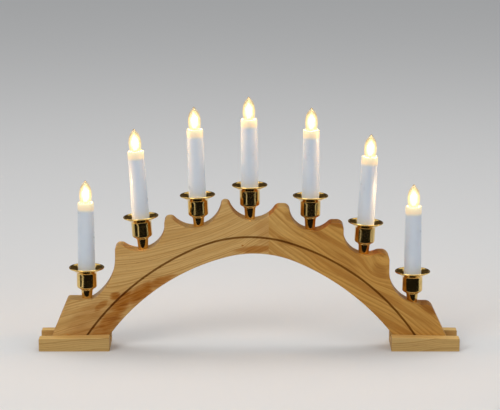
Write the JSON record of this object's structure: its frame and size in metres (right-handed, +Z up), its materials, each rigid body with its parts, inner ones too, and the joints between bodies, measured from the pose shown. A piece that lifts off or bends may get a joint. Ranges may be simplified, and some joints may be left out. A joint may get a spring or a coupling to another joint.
{
  "type": "electric candle arch",
  "caption": "Electric candle arch: scalloped pine arch on grooved wooden feet, brass cups, white candle sleeves and screw-in flame bulbs.",
  "frame": {"origin": "on the table, midway between the outer ends of the feet and midway through their depth", "axes": "+X to the right along the arch, +Y to the back, +Z up"},
  "size_m": [0.43, 0.045, 0.26],
  "materials": {
    "arch_pine_pale": "pale pine, clear satin lacquer",
    "arch_pine_brown": "pine with brown heartwood, clear satin lacquer",
    "foot_pine": "pale pine, clear satin lacquer",
    "dowel_beech": "plain beech",
    "screw_steel": "zinc plated",
    "cup_brass": "polished brass plate",
    "sleeve_plastic": "satin white moulding",
    "socket_brass": "bright pressed brass",
    "contact_brass": "spring brass",
    "cap_brass": "nickelled brass",
    "bulb_glass": "clear glass, fluted",
    "filament_wire": "glass mount with wires"
  },
  "bodies": {
    "root": {"arch_left_half": "arch_pine_pale", "arch_right_half": "arch_pine_brown", "crown_dowels": "dowel_beech", "foot_left": "foot_pine", "foot_right": "foot_pine", "foot_screws": "screw_steel", "cup_1": "cup_brass", "cup_2": "cup_brass", "cup_3": "cup_brass", "cup_4": "cup_brass", "cup_5": "cup_brass", "cup_6": "cup_brass", "cup_7": "cup_brass"},
    "candle_1": {"candle_sleeve_1": "sleeve_plastic", "socket_shell_1": "socket_brass"},
    "contact_1": {"socket_contact_1": "contact_brass"},
    "bulb_1": {"bulb_cap_1": "cap_brass", "bulb_glass_1": "bulb_glass", "bulb_filament_1": "filament_wire"},
    "candle_2": {"candle_sleeve_2": "sleeve_plastic", "socket_shell_2": "socket_brass"},
    "contact_2": {"socket_contact_2": "contact_brass"},
    "bulb_2": {"bulb_cap_2": "cap_brass", "bulb_glass_2": "bulb_glass", "bulb_filament_2": "filament_wire"},
    "candle_3": {"candle_sleeve_3": "sleeve_plastic", "socket_shell_3": "socket_brass"},
    "contact_3": {"socket_contact_3": "contact_brass"},
    "bulb_3": {"bulb_cap_3": "cap_brass", "bulb_glass_3": "bulb_glass", "bulb_filament_3": "filament_wire"},
    "candle_4": {"candle_sleeve_4": "sleeve_plastic", "socket_shell_4": "socket_brass"},
    "contact_4": {"socket_contact_4": "contact_brass"},
    "bulb_4": {"bulb_cap_4": "cap_brass", "bulb_glass_4": "bulb_glass", "bulb_filament_4": "filament_wire"},
    "candle_5": {"candle_sleeve_5": "sleeve_plastic", "socket_shell_5": "socket_brass"},
    "contact_5": {"socket_contact_5": "contact_brass"},
    "bulb_5": {"bulb_cap_5": "cap_brass", "bulb_glass_5": "bulb_glass", "bulb_filament_5": "filament_wire"},
    "candle_6": {"candle_sleeve_6": "sleeve_plastic", "socket_shell_6": "socket_brass"},
    "contact_6": {"socket_contact_6": "contact_brass"},
    "bulb_6": {"bulb_cap_6": "cap_brass", "bulb_glass_6": "bulb_glass", "bulb_filament_6": "filament_wire"},
    "candle_7": {"candle_sleeve_7": "sleeve_plastic", "socket_shell_7": "socket_brass"},
    "contact_7": {"socket_contact_7": "contact_brass"},
    "bulb_7": {"bulb_cap_7": "cap_brass", "bulb_glass_7": "bulb_glass", "bulb_filament_7": "filament_wire"}
  },
  "joints": [
    {"name": "candle_lift_1", "type": "slide", "parent": "root", "child": "candle_1", "axis": [0, 0, 1], "range_m": [0, 0.016]},
    {"name": "contact_follow_1", "type": "slide", "parent": "candle_1", "child": "contact_1", "axis": [0, 0, 1], "range_m": [0, 0.00153]},
    {"name": "bulb_turn_1", "type": "hinge", "parent": "contact_1", "child": "bulb_1", "pos_m": [-0.16641, 0, 0.15104], "axis": [0, 0, 1], "range_deg": [0, 300]},
    {"name": "candle_lift_2", "type": "slide", "parent": "root", "child": "candle_2", "axis": [-0.068, 0, 0.9977], "range_m": [0, 0.016]},
    {"name": "contact_follow_2", "type": "slide", "parent": "candle_2", "child": "contact_2", "axis": [-0.068, 0, 0.9977], "range_m": [0, 0.00153]},
    {"name": "bulb_turn_2", "type": "hinge", "parent": "contact_2", "child": "bulb_2", "pos_m": [-0.11507, 0, 0.20442], "axis": [-0.068, 0, 0.9977], "range_deg": [0, 300]},
    {"name": "candle_lift_3", "type": "slide", "parent": "root", "child": "candle_3", "axis": [-0.0366, 0, 0.9993], "range_m": [0, 0.016]},
    {"name": "contact_follow_3", "type": "slide", "parent": "candle_3", "child": "contact_3", "axis": [-0.0366, 0, 0.9993], "range_m": [0, 0.00153]},
    {"name": "bulb_turn_3", "type": "hinge", "parent": "contact_3", "child": "bulb_3", "pos_m": [-0.05506, 0, 0.22686], "axis": [-0.0366, 0, 0.9993], "range_deg": [0, 300]},
    {"name": "candle_lift_4", "type": "slide", "parent": "root", "child": "candle_4", "axis": [-0.0105, 0, 0.9999], "range_m": [0, 0.016]},
    {"name": "contact_follow_4", "type": "slide", "parent": "candle_4", "child": "contact_4", "axis": [-0.0105, 0, 0.9999], "range_m": [0, 0.00153]},
    {"name": "bulb_turn_4", "type": "hinge", "parent": "contact_4", "child": "bulb_4", "pos_m": [-0.00022, 0, 0.2372], "axis": [-0.0105, 0, 0.9999], "range_deg": [0, 300]},
    {"name": "candle_lift_5", "type": "slide", "parent": "root", "child": "candle_5", "axis": [0.007, 0, 1], "range_m": [0, 0.016]},
    {"name": "contact_follow_5", "type": "slide", "parent": "candle_5", "child": "contact_5", "axis": [0.007, 0, 1], "range_m": [0, 0.00153]},
    {"name": "bulb_turn_5", "type": "hinge", "parent": "contact_5", "child": "bulb_5", "pos_m": [0.06285, 0, 0.22609], "axis": [0.007, 0, 1], "range_deg": [0, 300]},
    {"name": "candle_lift_6", "type": "slide", "parent": "root", "child": "candle_6", "axis": [0.0541, 0, 0.9985], "range_m": [0, 0.016]},
    {"name": "contact_follow_6", "type": "slide", "parent": "candle_6", "child": "contact_6", "axis": [0.0541, 0, 0.9985], "range_m": [0, 0.00153]},
    {"name": "bulb_turn_6", "type": "hinge", "parent": "contact_6", "child": "bulb_6", "pos_m": [0.12242, 0, 0.19866], "axis": [0.0541, 0, 0.9985], "range_deg": [0, 300]},
    {"name": "candle_lift_7", "type": "slide", "parent": "root", "child": "candle_7", "axis": [0.0017, 0, 1], "range_m": [0, 0.016]},
    {"name": "contact_follow_7", "type": "slide", "parent": "candle_7", "child": "contact_7", "axis": [0.0017, 0, 1], "range_m": [0, 0.00153]},
    {"name": "bulb_turn_7", "type": "hinge", "parent": "contact_7", "child": "bulb_7", "pos_m": [0.16744, 0, 0.14701], "axis": [0.0017, 0, 1], "range_deg": [0, 300]}
  ],
  "couplings": [
    {"joint": "contact_follow_1", "follows": "bulb_turn_1", "m_per_rad": 0.00028876},
    {"joint": "contact_follow_2", "follows": "bulb_turn_2", "m_per_rad": 0.00028876},
    {"joint": "contact_follow_3", "follows": "bulb_turn_3", "m_per_rad": 0.00028876},
    {"joint": "contact_follow_4", "follows": "bulb_turn_4", "m_per_rad": 0.00028876},
    {"joint": "contact_follow_5", "follows": "bulb_turn_5", "m_per_rad": 0.00028876},
    {"joint": "contact_follow_6", "follows": "bulb_turn_6", "m_per_rad": 0.00028876},
    {"joint": "contact_follow_7", "follows": "bulb_turn_7", "m_per_rad": 0.00028876}
  ]
}
